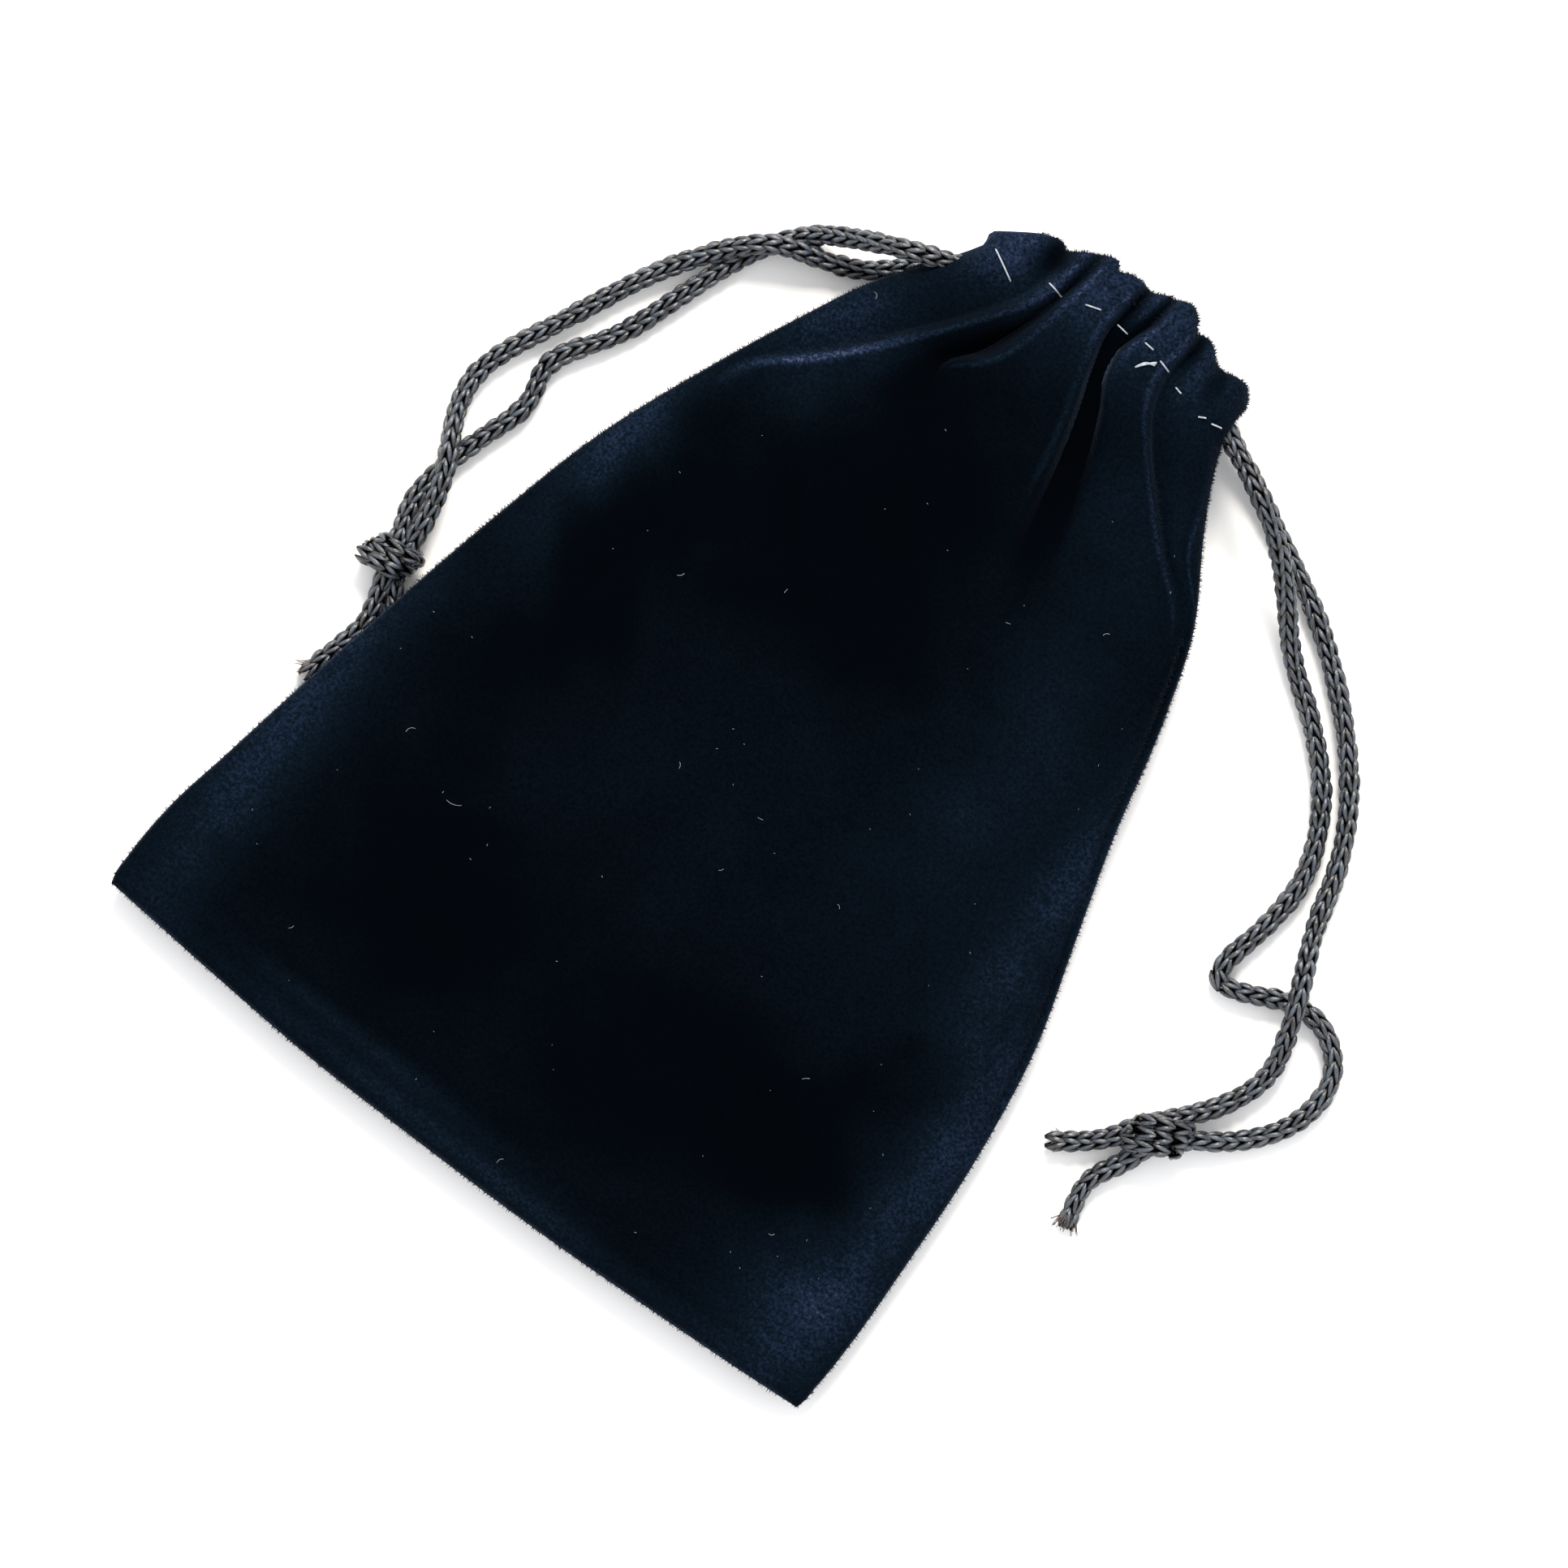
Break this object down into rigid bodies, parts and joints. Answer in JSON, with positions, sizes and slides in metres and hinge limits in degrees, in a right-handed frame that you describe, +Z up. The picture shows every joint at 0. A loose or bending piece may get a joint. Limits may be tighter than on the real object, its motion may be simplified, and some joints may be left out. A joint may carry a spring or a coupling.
{
  "type": "drawstring pouch",
  "caption": "Flat velvet pouch with its neck drawn in by knitted drawstrings that run through a casing on each panel and end in knots at either side.",
  "frame": {"origin": "on the surface the bag lies on, under the middle of the bag without its free cords", "axes": "+Z up from the surface, +Y from the bottom seam towards the mouth, +X to the right seen from above"},
  "size_m": [0.1335, 0.134, 0.0149],
  "materials": {
    "velvet": "short-pile velvet, near black",
    "knitted_cord": "glossy knitted nylon cord, black",
    "seam_thread": "black polyester sewing thread",
    "casing_thread": "grey polyester sewing thread"
  },
  "bodies": {
    "bag": {"back_casing": "velvet", "back_casing_stitching": "casing_thread", "back_panel": "velvet", "bottom_seam_thread": "seam_thread", "front_casing": "velvet", "front_casing_stitching": "casing_thread", "front_panel": "velvet", "left_back_inner_run": "knitted_cord", "left_cord_bight": "knitted_cord", "left_front_inner_run": "knitted_cord", "left_seam_thread": "seam_thread", "right_back_inner_run": "knitted_cord", "right_cord_bight": "knitted_cord", "right_front_inner_run": "knitted_cord", "right_seam_thread": "seam_thread"},
    "left_leads": {"left_back_lead": "knitted_cord", "left_front_lead": "knitted_cord"},
    "left_drawstring": {"left_back_strand": "knitted_cord", "left_front_strand": "knitted_cord", "left_knot": "knitted_cord", "left_long_tail": "knitted_cord", "left_short_tail": "knitted_cord"},
    "right_leads": {"right_back_lead": "knitted_cord", "right_front_lead": "knitted_cord"},
    "right_drawstring": {"right_back_strand": "knitted_cord", "right_front_strand": "knitted_cord", "right_knot": "knitted_cord", "right_long_tail": "knitted_cord", "right_short_tail": "knitted_cord"}
  },
  "joints": [
    {"name": "left_drawstring_pull", "type": "slide", "parent": "bag", "child": "left_leads", "axis": [-0.9063, -0.4226, 0], "range_m": [0, 0.01]},
    {"name": "left_drawstring_swing", "type": "hinge", "parent": "left_leads", "child": "left_drawstring", "pos_m": [-0.01616, 0.05405, 0.0011], "axis": [0, 0, -1], "range_deg": [0, 60]},
    {"name": "right_drawstring_pull", "type": "slide", "parent": "bag", "child": "right_leads", "axis": [0.9063, -0.4226, 0], "range_m": [0, 0.01]},
    {"name": "right_drawstring_swing", "type": "hinge", "parent": "right_leads", "child": "right_drawstring", "pos_m": [0.02381, 0.05632, 0.0011], "axis": [0, 0, 1], "range_deg": [-4, 50]}
  ]
}
